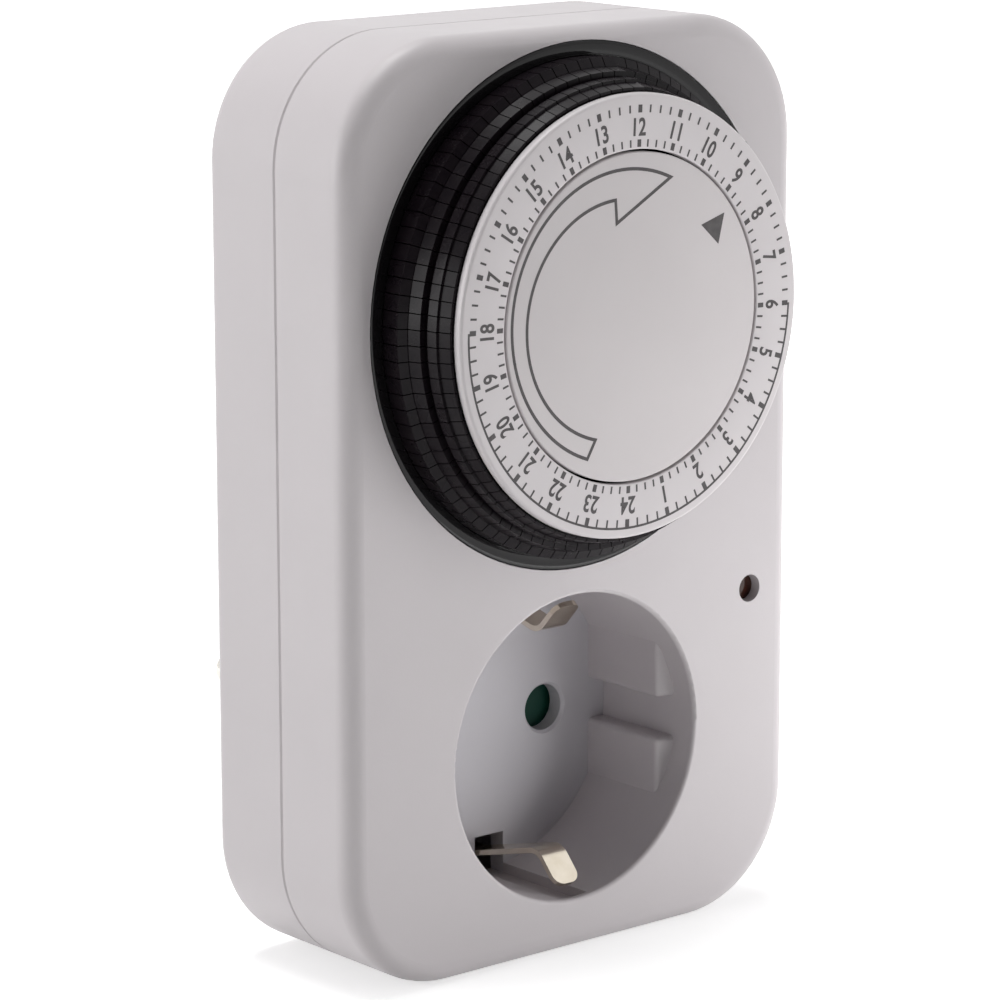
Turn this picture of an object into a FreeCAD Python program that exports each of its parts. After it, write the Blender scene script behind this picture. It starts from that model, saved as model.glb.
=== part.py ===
import FreeCAD, Part
import math
import os

# Plug in timer switch. Millimetres, X to the right seen from the front, Y into the
# wall, Z up. The origin is the middle of the plug face that the two pins stand on.

os.makedirs("parts", exist_ok=True)

# Housing
housing_width = 73.0
housing_bottom_z = -26.5
front_half_depth = 13.5
rear_half_depth = 13.5
corner_radius = 16.0
front_edge_radius = 2.6
rear_edge_radius = 1.6
wall = 1.6
seam_chamfer = 0.25
lip_thickness = 0.9
lip_height = 1.6

# Plug that goes into the wall socket
boss_radius = 19.25
boss_length = 16.5
boss_flat_inset = 2.55
boss_key_half_width = 2.2
boss_face_thickness = 2.5
boss_edge_chamfer = 0.8
pin_spacing = 19.0
pin_radius = 2.4
pin_root_radius = 2.7
pin_tail_radius = 2.2
pin_length = 18.6
pin_tip_radius = 2.3
pin_flange_radius = 3.2
pin_flange_thickness = 1.5
pin_rivet_radius = 1.4
pin_rivet_rise = 0.6
sleeve_radius = 4.5
sleeve_length = 9.5
earth_strip_inset = 1.75
earth_strip_hook = 0.2

# Socket on the front
plug_clearance = 0.5
recess_depth = 17.5
recess_wall = 1.8
recess_rim_radius = 0.5
guide_flat_inset = 2.75
guide_gap_half_width = 2.7
guide_wall_depth = 3.2
guide_front_depth = 4.2
guide_edge_radius = 0.7
cut_margin = 1.0
floor_thickness = 2.5
pin_hole_radius = 3.05
pin_hole_chamfer = 0.4
groove_half_width = 2.4
groove_depth = 1.2
groove_start_depth = 1.0
floor_notch_width = 2.9

# Earth contacts
strip_thickness = 0.7
clip_half_width = 2.0
clip_leg_end = 3.0
clip_bow = 3.9
clip_bend_depth = 5.6
clip_flare = 4.0
clip_tip_depth = 1.9
clip_tip_radius = 1.5
clip_tip_zone = 0.5
strip_bend_radius = 0.6
clip_bend_radius = 2.0

# Shutter behind the socket floor
shutter_thickness = 1.4
shutter_half_length = 13.0
shutter_half_width = 3.4
shutter_post_radius = 1.8
shutter_post_length = 3.2
shutter_spring_radius = 2.5
shutter_wire_radius = 0.25
shutter_coil_gap = 0.05
spring_seat_gap = 0.15
shutter_spring_turns = 2

# Socket contacts
tulip_radius = 3.2
tulip_bore_radius = 2.45
tulip_mouth_chamfer = 0.45
tulip_slot = 0.8
tulip_slot_length = 10.5
tulip_base = 0.8
tulip_gap_behind_shutter = 0.6
live_gap = 1.6
strap_spacing = 0.5
strap_slot_gap = 0.2
bridge_gap = 0.4
strap_half_width = 2.0
strap_rise_inset = 7.75
strap_case_drop = 8.5
load_strap_x = 18.5
load_strap_half_width = 1.5
collar_radius = 3.9

# Dial
dial_recess_gap = 3.75
dial_front_height = 10.0
number_ring_width = 6.75
number_ring_thickness = 1.2
number_ring_edge = 0.15
centre_disc_thickness = 1.1
centre_disc_stub_radius = 2.5
centre_disc_stub_length = 5.0
centre_skirt_radius = 6.5
centre_skirt_wall = 1.2
drum_wall = 1.6
drum_top_thickness = 1.4
dial_side_margin = 4.0
dial_top_margin = 2.0
flange_rim_width = 1.5
flange_edge = 0.2
wheel_plate_depth = 2.8
wheel_plate_thickness = 1.6
hub_radius = 7.0
hub_top_height = 3.0
hub_end_depth = 8.3
hub_lip_radius = 8.5
hub_lip_thickness = 1.0
post_radius = 4.0
post_flange_radius = 6.0
post_rivet_radius = 3.0
running_clearance = 0.06
same_body_clearance = 0.05
sliding_clearance = 0.1
free_gap = 0.3

# Time pins, four for each hour
pins_per_hour = 4
hours = 24
pin_gap = 0.14
pin_depth_across = 3.5
pin_travel = 2.6
pin_step_height = 2.8
pin_ledge_inset = 1.0
pin_ledge_edge = 0.1
pin_ledge_height = 3.4
pin_wall_inset = 1.5
pin_wall_height = 5.15
pin_notch_inset = 2.5
pin_notch_height = 5.5
pin_back_inset = 2.15
pin_back_slope = 0.15
pin_back_low = 5.75
pin_back_high = 7.2
pin_crown_inset = 2.65
pin_top_inset = 3.15
pin_top_height = 8.7
tail_inset = 0.1
tail_thickness = 1.0
tail_half_width = 0.5
tail_depth = 4.8
noon_angle = 88.0
pressed_first_index = 36
pressed_end_index = 47

# Gears
gear_module = 0.6
dial_gear_teeth = 60
idler_pinion_teeth = 12
idler_wheel_teeth = 40
motor_pinion_teeth = 10
dial_gear_depth = 4.7
dial_gear_thickness = 1.9
tooth_share = 0.42
tooth_tip_share = 0.9
tooth_root_share = 1.2
tooth_root_flare = 0.35
tooth_tip_taper = 0.30
idler_angle = 215.0
motor_pinion_angle = 80.0
idler_front_depth = 4.7
idler_wheel_depth = 7.8
idler_wheel_thickness = 1.3
idler_end_depth = 9.5
stud_radius = 1.5
stud_setback = 0.1
idler_hub_wall = 1.2
motor_pinion_depth = 7.6
motor_pinion_end_depth = 9.3
washer_inner_radius = 7.1
washer_outer_radius = 11.0
washer_thickness = 0.3
washer_rise = 0.4

# Mechanism plate and motor
plate_depth = 9.8
plate_thickness = 1.5
plate_side_gap = 1.1
plate_top_gap = 1.1
plate_recess_gap = 3.45
plate_upper_height = 39.0
plate_overlap = 19.5
plate_corner_radius = 13.0
plate_low_corner_radius = 2.0
motor_screw_inset = 12.2
motor_screw_drop = 17.0
motor_radius = 15.5
motor_depth = 9.7
motor_bearing_radius = 3.0
motor_rim = 0.6
motor_bore_relief = 0.2
terminal_overlap = 2.0
terminal_x = -18.5
terminal_half_width = 1.5
terminal_length = 4.0

# Switch
lever_angle = 37.7
lever_pivot_radius = 14.0
lever_reach = 1.0
lever_half_width = 2.0
lever_depth = 7.7
lever_thickness = 1.1
lever_barrel_radius = 1.28
lever_pin_radius = 0.8
ear_gap = 0.6
ear_thickness = 1.2
ear_half_length = 1.6
ear_rise = 0.3
lever_pin_overhang = 0.3
window_inner_radius = 16.6
window_margin = 0.7
window_half_width = 3.6
plunger_radius_from_dial = 20.5
plunger_radius = 1.2
plunger_depth = 9.1
plunger_end_depth = 12.4
case_width = 11.0
case_height = 20.0
case_screw_drop = 23.5
case_x = 15.8
case_end_depth = 23.4
case_bore_end_depth = 13.6
blade_thickness = 0.7
blade_half_width = 1.5
blade_length = 13.5
supply_blade_x = 13.0

# Indicator
lamp_inset = 7.2
lamp_z = 16.1
lamp_hole_radius = 1.8
lens_radius = 1.7
lens_recess = 1.4
lens_end_depth = 3.2
lens_flange_radius = 2.9
lens_flange_thickness = 0.8
lamp_radius = 2.1
lamp_dome = 1.26
lamp_start_depth = 4.0
lamp_length = 8.5
lamp_lead_radius = 0.3
lamp_lead_length = 6.0

# Fasteners
upper_screw_inset = 9.3
lower_screw_inset = 8.5
screw_edge_z = 8.5
front_post_radius = 3.0
rear_post_radius = 4.2
screw_radius = 1.4
screw_hole_radius = 1.6
screw_head_radius = 2.8
screw_head_height = 2.0
screw_bore_radius = 3.1
screw_bore_depth = 3.4
screw_tip_depth = 5.0
slot_half_width = 0.35
slot_depth = 0.7
plate_screw_inset = 5.5
plate_screw_drop = 26.0
plate_post_radius = 2.3
plate_screw_radius = 1.0
plate_screw_clearance = 0.1
plate_screw_head_radius = 2.0
plate_screw_head_height = 1.2
plate_screw_length = 6.0

# Places that follow from the sizes above
back_y = -boss_length
seam_y = back_y - rear_half_depth
front_y = seam_y - front_half_depth
half_width = housing_width / 2
recess_radius = boss_radius + plug_clearance
flange_radius = half_width - dial_side_margin
dial_z = recess_radius + dial_recess_gap + flange_radius
housing_top_z = dial_z + flange_radius + dial_top_margin
upper_screw_x = half_width - upper_screw_inset
upper_screw_z = housing_top_z - screw_edge_z
lower_screw_x = half_width - lower_screw_inset
lower_screw_z = housing_bottom_z + screw_edge_z
plate_screw_x = half_width - plate_screw_inset
lamp_x = half_width - lamp_inset
boss_flat_x = boss_radius - boss_flat_inset
guide_flat_x = recess_radius - guide_flat_inset
pin_x = pin_spacing / 2
floor_y = front_y + recess_depth
floor_back_y = floor_y + floor_thickness
shutter_y = floor_back_y + free_gap
shutter_back_y = shutter_y + shutter_thickness
tulip_y = shutter_back_y + tulip_gap_behind_shutter
pin_flange_y = -boss_face_thickness - pin_flange_thickness
rivet_end_y = pin_flange_y - strip_thickness - pin_rivet_rise
tulip_end_y = rivet_end_y - live_gap
live_strap_y = shutter_back_y + free_gap + strip_thickness / 2
load_strap_y = live_strap_y + strip_thickness + strap_spacing
post_back_y = floor_back_y + shutter_post_length
earth_bridge_y = post_back_y + bridge_gap + strip_thickness / 2
earth_strip_z = boss_radius - earth_strip_inset
clip_leg_z = earth_strip_z + strip_thickness
clip_bend_z = clip_leg_z - clip_bow
clip_tip_z = clip_bend_z + clip_flare
floor_notch_z = clip_leg_z - floor_notch_width
plate_back_depth = plate_depth + plate_thickness
plate_half_width = half_width - wall - plate_side_gap
plate_top_z = housing_top_z - wall - plate_top_gap
plate_bottom_z = recess_radius + recess_wall + plate_recess_gap
plate_screw_z = dial_z - plate_screw_drop
motor_x = motor_screw_inset - upper_screw_x
motor_z = upper_screw_z - motor_screw_drop
terminal_bottom_z = motor_z - motor_radius - terminal_length
case_bottom_z = upper_screw_z - case_screw_drop
blade_bottom_z = case_bottom_z - blade_length
strap_rise_z = boss_radius - strap_rise_inset
strap_top_z = case_bottom_z - strap_case_drop
drum_top_height = dial_front_height - number_ring_thickness

# Radii of the dial, from its rim inwards
dial_opening_radius = flange_radius + free_gap
channel_radius = flange_radius - flange_rim_width
pin_outer_radius = channel_radius - sliding_clearance
pin_inner_radius = pin_outer_radius - pin_depth_across
pin_ledge_radius = pin_outer_radius - pin_ledge_inset
pin_wall_radius = pin_outer_radius - pin_wall_inset
pin_notch_radius = pin_outer_radius - pin_notch_inset
pin_back_radius = pin_outer_radius - pin_back_inset
pin_crown_radius = pin_outer_radius - pin_crown_inset
pin_top_radius = pin_outer_radius - pin_top_inset
tail_outer_radius = pin_wall_radius - tail_inset
tail_inner_radius = tail_outer_radius - tail_thickness
drum_radius = pin_inner_radius - sliding_clearance
number_ring_radius = drum_radius - sliding_clearance
number_ring_inner_radius = number_ring_radius - number_ring_width
centre_disc_radius = number_ring_inner_radius - free_gap
lever_outer_radius = tail_outer_radius + lever_reach
window_outer_radius = lever_outer_radius + window_margin

# Angles of the hours
hour_angle = 360.0 / hours
step_angle = hour_angle / pins_per_hour
half_turn = 180.0


def depth(value):
    return front_y + value


def height(value):
    return front_y - value


def cylinder(radius, y_start, y_end, x=0.0, z=0.0):
    low = min(y_start, y_end)
    length = abs(y_end - y_start)
    return Part.makeCylinder(radius, length, FreeCAD.Vector(x, low, z), FreeCAD.Vector(0, 1, 0))


def tube(outer, inner, y_start, y_end, x=0.0, z=0.0):
    body = cylinder(outer, y_start, y_end, x, z)
    return body.cut(cylinder(inner, y_start, y_end, x, z))


def cone(radius_start, radius_end, y_start, y_end, x=0.0, z=0.0):
    base = FreeCAD.Vector(x, y_start, z)
    return Part.makeCone(radius_start, radius_end, y_end - y_start, base, FreeCAD.Vector(0, 1, 0))


def block(x_pair, y_pair, z_pair):
    size = [abs(pair[1] - pair[0]) for pair in (x_pair, y_pair, z_pair)]
    corner = FreeCAD.Vector(min(x_pair), min(y_pair), min(z_pair))
    return Part.makeBox(size[0], size[1], size[2], corner)


def prism(points, shift):
    wire = Part.makePolygon(points + [points[0]])
    return Part.Face(wire).extrude(shift)


def slab(x_pair, z_pair, y_pair, radius):
    body = block(x_pair, y_pair, z_pair)
    return body.makeFillet(radius, edges_along(body, FreeCAD.Vector(0, 1, 0)))


def edges_along(body, direction):
    chosen = []
    for edge in body.Edges:
        if len(edge.Vertexes) != 2:
            continue
        run = edge.Vertexes[1].Point.sub(edge.Vertexes[0].Point)
        if run.Length > 0 and abs(abs(run.dot(direction)) - run.Length) < 1e-6:
            chosen.append(edge)
    return chosen


def edges_at(body, y_value):
    chosen = []
    for edge in body.Edges:
        box = edge.BoundBox
        if abs(box.YMin - y_value) < 1e-6 and abs(box.YMax - y_value) < 1e-6:
            chosen.append(edge)
    return chosen


def edges_meeting(body, place):
    return [edge for edge in body.Edges
            if min(vertex.Point.distanceToPoint(place) for vertex in edge.Vertexes) < 1e-6]


def joined(shapes):
    body = shapes[0]
    if len(shapes) > 1:
        body = body.fuse(shapes[1:])
    return body.removeSplitter()


def about_dial(shape, angle):
    turned = shape.copy()
    turned.rotate(FreeCAD.Vector(0, 0, dial_z), FreeCAD.Vector(0, -1, 0), angle)
    return turned


def polar(radius, angle):
    turn = math.radians(angle)
    return radius * math.cos(turn), dial_z + radius * math.sin(turn)


def mirrored(shape):
    return shape.mirror(FreeCAD.Vector(0, 0, 0), FreeCAD.Vector(1, 0, 0))


def flipped(shape):
    return shape.mirror(FreeCAD.Vector(0, 0, 0), FreeCAD.Vector(0, 0, 1))


def offset_side(path, distance):
    side = []
    for index, point in enumerate(path):
        normals = []
        for start, end in ((index - 1, index), (index, index + 1)):
            if start < 0 or end >= len(path):
                continue
            run_y = path[end][0] - path[start][0]
            run_z = path[end][1] - path[start][1]
            length = math.hypot(run_y, run_z)
            normals.append((-run_z / length, run_y / length))
        mean_y = sum(normal[0] for normal in normals) / len(normals)
        mean_z = sum(normal[1] for normal in normals) / len(normals)
        scale = distance / (mean_y * mean_y + mean_z * mean_z)
        side.append((point[0] + mean_y * scale, point[1] + mean_z * scale))
    return side


# A flat strip bent along a path of (y, z) points, with rounded bends
def bent_strip(path, x_low, x_high, bend_radius=strip_bend_radius):
    upper = offset_side(path, strip_thickness / 2)
    lower = offset_side(path, -strip_thickness / 2)
    outline = upper + lower[::-1]
    points = [FreeCAD.Vector(x_low, pair[0], pair[1]) for pair in outline]
    body = prism(points, FreeCAD.Vector(x_high - x_low, 0, 0))
    rounds = {}
    for index in range(1, len(path) - 1):
        before = (path[index][0] - path[index - 1][0], path[index][1] - path[index - 1][1])
        after = (path[index + 1][0] - path[index][0], path[index + 1][1] - path[index][1])
        turn = before[0] * after[1] - before[1] * after[0]
        inner, outer = (upper, lower) if turn > 0 else (lower, upper)
        rounds[inner[index]] = bend_radius
        rounds[outer[index]] = bend_radius + strip_thickness
    for (place_y, place_z), radius in rounds.items():
        for edge in edges_along(body, FreeCAD.Vector(1, 0, 0)):
            point = edge.Vertexes[0].Point
            if math.hypot(point.y - place_y, point.z - place_z) < 1e-3:
                body = body.makeFillet(radius, [edge])
                break
    return body


def gear(teeth, y_start, y_end, x, z, first_angle):
    pitch_radius = gear_module * teeth / 2
    tip = pitch_radius + tooth_tip_share * gear_module
    root = pitch_radius - tooth_root_share * gear_module
    tooth_angle = 2 * math.pi / teeth
    half_pitch = tooth_angle * tooth_share / 2
    half_root = half_pitch + tooth_root_flare * gear_module / pitch_radius
    half_tip = half_pitch - tooth_tip_taper * gear_module / pitch_radius
    points = []
    for index in range(teeth):
        middle = math.radians(first_angle) + index * tooth_angle
        for radius, offset in ((root, -half_root), (pitch_radius, -half_pitch), (tip, -half_tip),
                               (tip, half_tip), (pitch_radius, half_pitch), (root, half_root)):
            angle = middle + offset
            place_x = x + radius * math.cos(angle)
            place_z = z + radius * math.sin(angle)
            points.append(FreeCAD.Vector(place_x, y_start, place_z))
    return prism(points, FreeCAD.Vector(0, y_end - y_start, 0))


def save(name, shape):
    shape.exportStep("parts/" + name + ".step")
    print(name, len(shape.Solids), round(shape.Volume, 2))


# Front half of the housing, with the socket recess in one piece with it
x_out = (-half_width, half_width)
z_out = (housing_bottom_z, housing_top_z)
x_in = (-half_width + wall, half_width - wall)
z_in = (housing_bottom_z + wall, housing_top_z - wall)
inner_corner = corner_radius - wall
upper_posts = [(upper_screw_x, upper_screw_z), (-upper_screw_x, upper_screw_z)]
lower_posts = [(lower_screw_x, lower_screw_z), (-lower_screw_x, lower_screw_z)]
plate_posts = [(plate_screw_x, plate_screw_z), (-plate_screw_x, plate_screw_z)]

outer = slab(x_out, z_out, (front_y, seam_y), corner_radius)
outer = outer.makeFillet(front_edge_radius, edges_at(outer, front_y))
outer = outer.makeChamfer(seam_chamfer, edges_at(outer, seam_y))
hollow = slab(x_in, z_in, (front_y + wall, seam_y), inner_corner)
shell = outer.cut(hollow)
additions = [cylinder(recess_radius + recess_wall, front_y + wall, floor_y)]
for place in upper_posts:
    additions.append(cylinder(front_post_radius, front_y + wall, depth(plate_depth), *place))
for place in lower_posts:
    additions.append(cylinder(front_post_radius, front_y + wall, seam_y, *place))
for place in plate_posts:
    additions.append(cylinder(plate_post_radius, front_y + wall, depth(plate_depth), *place))
shell = joined([shell] + additions)
shell = shell.cut(cylinder(recess_radius, front_y, floor_y))
rim = [edge for edge in edges_at(shell, front_y)
       if abs(edge.BoundBox.XLength - 2 * recess_radius) < 0.01]
shell = shell.makeFillet(recess_rim_radius, rim)
guide_points = [(guide_flat_x, recess_depth), (guide_flat_x, guide_front_depth),
                (recess_radius + cut_margin, guide_wall_depth),
                (recess_radius + cut_margin, recess_depth)]
guide = prism([FreeCAD.Vector(point[0], depth(point[1]), guide_gap_half_width)
               for point in guide_points], FreeCAD.Vector(0, 0, recess_radius))
guide_corner = FreeCAD.Vector(guide_flat_x, depth(guide_front_depth), guide_gap_half_width)
guide = guide.makeFillet(guide_edge_radius, edges_meeting(guide, guide_corner))
guide = guide.common(cylinder(recess_radius + cut_margin, front_y, floor_y))
guides = [guide, flipped(guide)]
guides += [mirrored(piece) for piece in guides]
shell = joined([shell] + guides)
groove = block((-groove_half_width, groove_half_width), (depth(groove_start_depth), floor_y),
               (recess_radius - cut_margin, recess_radius + groove_depth))
shell = shell.cut([groove, flipped(groove)])
openings = [cylinder(dial_opening_radius, front_y, front_y + wall, 0, dial_z),
            cylinder(lamp_hole_radius, front_y, front_y + wall, lamp_x, lamp_z)]
for place in upper_posts + lower_posts:
    openings.append(cylinder(screw_radius, depth(screw_tip_depth), seam_y, *place))
for place in plate_posts:
    pilot_end = depth(plate_back_depth) - plate_screw_length
    openings.append(cylinder(plate_screw_radius, pilot_end, depth(plate_depth), *place))
front_shell = shell.cut(openings)
save("front_shell", front_shell)

# Rear half of the housing, with the plug that enters the wall socket
outer = slab(x_out, z_out, (seam_y, back_y), corner_radius)
outer = outer.makeFillet(rear_edge_radius, edges_at(outer, back_y))
outer = outer.makeChamfer(seam_chamfer, edges_at(outer, seam_y))
hollow = slab(x_in, z_in, (seam_y, back_y - wall), inner_corner)
shell = outer.cut(hollow)


def boss_section(inset, y_start, y_end):
    body = cylinder(boss_radius - inset, y_start, y_end)
    flat = boss_flat_x - inset
    middle = body.common(block((-flat, flat), (y_start, y_end), (-boss_radius, boss_radius)))
    key = boss_key_half_width - inset
    if key <= 0:
        return middle
    keys = body.common(block((-boss_radius, boss_radius), (y_start, y_end), (-key, key)))
    return middle.fuse(keys).removeSplitter()


boss = boss_section(0, back_y - wall, 0)
boss = boss.makeChamfer(boss_edge_chamfer, edges_at(boss, 0))
boss_hollow = boss_section(wall, back_y - wall, -boss_face_thickness)
sleeves = []
for side in (-1, 1):
    sleeves.append(tube(sleeve_radius, tulip_radius + same_body_clearance,
                        -boss_face_thickness - sleeve_length, -boss_face_thickness, side * pin_x))
additions = []
lip_x = half_width - wall - same_body_clearance
lip_z = (housing_bottom_z + corner_radius, plate_screw_z - 2 * plate_post_radius)
for side in (-1, 1):
    inner_x = side * (lip_x - lip_thickness)
    additions.append(block((side * lip_x, inner_x), (seam_y - lip_height, seam_y + wall), lip_z))
    additions.append(block((side * (half_width - wall / 2), inner_x), (seam_y, seam_y + wall), lip_z))
for place in upper_posts:
    additions.append(cylinder(front_post_radius, depth(plate_back_depth), seam_y, *place))
for place in upper_posts + lower_posts:
    additions.append(cylinder(rear_post_radius, seam_y, back_y - wall, *place))
bounded = slab(x_out, z_out, (front_y, back_y), corner_radius)
additions = [piece.common(bounded) for piece in additions]
shell = joined([shell, boss] + additions).cut(boss_hollow)
shell = joined([shell] + sleeves)
cuts = []
for place in upper_posts + lower_posts:
    cuts.append(cylinder(screw_hole_radius, front_y, back_y, *place))
    cuts.append(cylinder(screw_bore_radius, back_y - screw_bore_depth, back_y, *place))
for side in (-1, 1):
    cuts.append(cylinder(pin_root_radius, -boss_face_thickness, 0, side * pin_x))
strap_slot_x = strap_half_width + strap_slot_gap
live_slot = block((pin_x - strap_slot_x, pin_x + strap_slot_x), (rivet_end_y, -boss_face_thickness),
                  (-sleeve_radius, sleeve_radius + cut_margin))
cuts.append(live_slot)
strip_slot = block((-clip_half_width - same_body_clearance, clip_half_width + same_body_clearance),
                   (back_y - wall, -boss_face_thickness / 2),
                   (earth_strip_z - cut_margin, boss_radius + cut_margin))
covered = block((-boss_radius, boss_radius), (back_y - wall, back_y),
                (earth_strip_z + strip_thickness / 2 + same_body_clearance,
                 boss_radius + cut_margin))
strip_slot = strip_slot.cut(covered)
cuts += [strip_slot, flipped(strip_slot)]
rear_shell = shell.cut(cuts)
save("rear_shell", rear_shell)

# Floor of the socket recess
floor = cylinder(recess_radius + recess_wall, floor_y, floor_back_y)
floor = joined([floor, cylinder(shutter_post_radius, floor_back_y, post_back_y)])
cuts = []
for side in (-1, 1):
    cuts.append(cylinder(pin_hole_radius, floor_y, floor_back_y, side * pin_x))
    cuts.append(cone(pin_hole_radius + pin_hole_chamfer, pin_hole_radius, floor_y,
                     floor_y + pin_hole_chamfer, side * pin_x))
notch = block((-groove_half_width, groove_half_width), (floor_y, floor_back_y),
              (floor_notch_z, recess_radius + groove_depth))
cuts += [notch, flipped(notch)]
save("socket_floor", floor.cut(cuts))

# Turning shutter that covers both pin holes. Each end slopes, so that plug pins turn it.
bar_x = shutter_half_length - shutter_half_width
bar = block((-bar_x, bar_x), (shutter_y, shutter_back_y), (-shutter_half_width, shutter_half_width))
ends = [cylinder(shutter_half_width, shutter_y, shutter_back_y, side * bar_x) for side in (-1, 1)]
shutter = joined([bar] + ends)
shutter = shutter.cut(cylinder(shutter_post_radius + running_clearance, shutter_y, shutter_back_y))
ramp_low_z = -pin_hole_radius - sliding_clearance
ramp_high_z = shutter_half_width + cut_margin
ramp_points = [(0.0, ramp_low_z), (0.0, ramp_high_z), (shutter_thickness / 2, ramp_high_z)]
ramp = prism([FreeCAD.Vector(pin_x - pin_hole_radius - free_gap, shutter_y + point[0], point[1])
              for point in ramp_points], FreeCAD.Vector(shutter_half_length, 0, 0))
shutter = shutter.cut([ramp, flipped(mirrored(ramp))])
save("socket_shutter", shutter)

# Its return spring, wound round the post
helix_pitch = 2 * shutter_wire_radius + shutter_coil_gap
helix = Part.makeHelix(helix_pitch, helix_pitch * shutter_spring_turns, shutter_spring_radius)
section = Part.Wire(Part.makeCircle(shutter_wire_radius,
                                    FreeCAD.Vector(shutter_spring_radius, 0, 0),
                                    FreeCAD.Vector(0, 1, 0)))
coil = Part.Wire(helix).makePipeShell([section], True, True)
coil.rotate(FreeCAD.Vector(0, 0, 0), FreeCAD.Vector(1, 0, 0), -90)
coil.translate(FreeCAD.Vector(0, shutter_back_y + shutter_wire_radius + spring_seat_gap, 0))
save("shutter_spring", coil)


# Socket contact: a slotted sleeve with a closed base and a collar for its strap
def tulip(side):
    body = cylinder(tulip_radius, tulip_y, tulip_end_y, side * pin_x)
    collar = cylinder(collar_radius, load_strap_y - strip_thickness / 2,
                      load_strap_y + strip_thickness / 2, side * pin_x)
    body = joined([body, collar])
    bore = cylinder(tulip_bore_radius, tulip_y, tulip_end_y - tulip_base, side * pin_x)
    mouth = cone(tulip_bore_radius + tulip_mouth_chamfer, tulip_bore_radius, tulip_y,
                 tulip_y + tulip_mouth_chamfer, side * pin_x)
    slots = [block((side * pin_x - tulip_slot / 2, side * pin_x + tulip_slot / 2),
                   (load_strap_y + strip_thickness, load_strap_y + tulip_slot_length),
                   (-tulip_radius, tulip_radius)),
             block((side * pin_x - tulip_radius, side * pin_x + tulip_radius),
                   (load_strap_y + strip_thickness, load_strap_y + tulip_slot_length),
                   (-tulip_slot / 2, tulip_slot / 2))]
    return body.cut([bore, mouth] + slots)


save("socket_contact_live", tulip(1))
save("socket_contact_neutral", tulip(-1))


# Plug pins
def plug_pin(side, tail_radius, tail_end_y):
    root = cylinder(pin_root_radius, -boss_face_thickness, 0, side * pin_x)
    shaft = cylinder(pin_radius, 0, pin_length, side * pin_x)
    shaft = shaft.makeFillet(pin_tip_radius, edges_at(shaft, pin_length))
    flange = cylinder(pin_flange_radius, pin_flange_y, -boss_face_thickness, side * pin_x)
    tail = cylinder(tail_radius, tail_end_y, pin_flange_y, side * pin_x)
    return joined([root, shaft, flange, tail])


save("plug_pin_live", plug_pin(1, pin_rivet_radius, rivet_end_y))
save("plug_pin_neutral", plug_pin(-1, pin_tail_radius, tulip_end_y))

# Earth clips of the socket, sprung strips at the top and the bottom of the recess
clip_path = [(earth_bridge_y - strip_thickness / 2, clip_leg_z),
             (floor_y + clip_leg_end, clip_leg_z),
             (depth(clip_bend_depth), clip_bend_z), (depth(clip_tip_depth), clip_tip_z)]
clip = bent_strip(clip_path, -clip_half_width, clip_half_width, clip_bend_radius)
tip_edges = []
for edge in clip.Edges:
    middle = edge.BoundBox.Center
    if abs(edge.Length - strip_thickness) < 1e-3 and middle.y < depth(clip_tip_depth + clip_tip_zone):
        tip_edges.append(edge)
clip = clip.makeFillet(clip_tip_radius, tip_edges)
save("earth_clips", Part.makeCompound([clip, flipped(clip)]))

# Earth strip of the plug, up both sides of the boss and across inside
earth_end_y = -boss_face_thickness / 2 - earth_strip_hook
earth_path = [(earth_end_y, earth_strip_z), (earth_bridge_y, earth_strip_z),
              (earth_bridge_y, -earth_strip_z), (earth_end_y, -earth_strip_z)]
save("plug_earth_strip", bent_strip(earth_path, -clip_half_width, clip_half_width))

# Strap from the live pin up to the switch
strap_foot_y = pin_flange_y - strip_thickness / 2
strap_path = [(strap_foot_y, -strap_half_width), (strap_foot_y, strap_rise_z),
              (live_strap_y, strap_rise_z), (live_strap_y, strap_top_z)]
strap = bent_strip(strap_path, pin_x - strap_half_width, pin_x + strap_half_width)
strap = strap.cut(cylinder(pin_rivet_radius, rivet_end_y, pin_flange_y, pin_x))
strap_tab = block((pin_x - strap_half_width, supply_blade_x + blade_half_width),
                  (live_strap_y - strip_thickness / 2, live_strap_y + strip_thickness / 2),
                  (strap_top_z - 2 * strap_half_width, strap_top_z))
save("live_strap", joined([strap, strap_tab]))


# Straps from the socket contacts, the live one to the switch, the other to the motor
def side_strap(side, top_z):
    y_pair = (load_strap_y - strip_thickness / 2, load_strap_y + strip_thickness / 2)
    far = load_strap_x + load_strap_half_width
    arm = block((pin_x, far), y_pair, (-load_strap_half_width, load_strap_half_width))
    rise = block((load_strap_x - load_strap_half_width, far), y_pair,
                 (-load_strap_half_width, top_z))
    body = joined([arm, rise]).cut(cylinder(collar_radius, y_pair[0], y_pair[1], pin_x))
    if side < 0:
        body = mirrored(body)
    return body


save("load_strap", side_strap(1, strap_top_z))
save("neutral_strap", side_strap(-1, strap_top_z))

# Dial wheel that carries the time pins
wheel_back = depth(wheel_plate_depth + wheel_plate_thickness)
flange = cylinder(flange_radius, front_y, wheel_back, 0, dial_z)
flange = flange.makeChamfer(flange_edge, edges_at(flange, front_y))
drum = cylinder(drum_radius, height(drum_top_height), depth(wheel_plate_depth), 0, dial_z)
channel = cylinder(channel_radius, front_y, depth(wheel_plate_depth), 0, dial_z)
room = cylinder(drum_radius - drum_wall, height(drum_top_height - drum_top_thickness),
                depth(wheel_plate_depth), 0, dial_z)
mouth = cylinder(number_ring_inner_radius, height(drum_top_height), depth(0), 0, dial_z)
hub = cylinder(hub_radius, height(hub_top_height), depth(hub_end_depth), 0, dial_z)
hub_lip = cylinder(hub_lip_radius, depth(hub_end_depth - hub_lip_thickness),
                   depth(hub_end_depth), 0, dial_z)
wheel = joined([flange.cut(channel), drum]).cut([room, mouth])
wheel = joined([wheel, hub, hub_lip])
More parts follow.
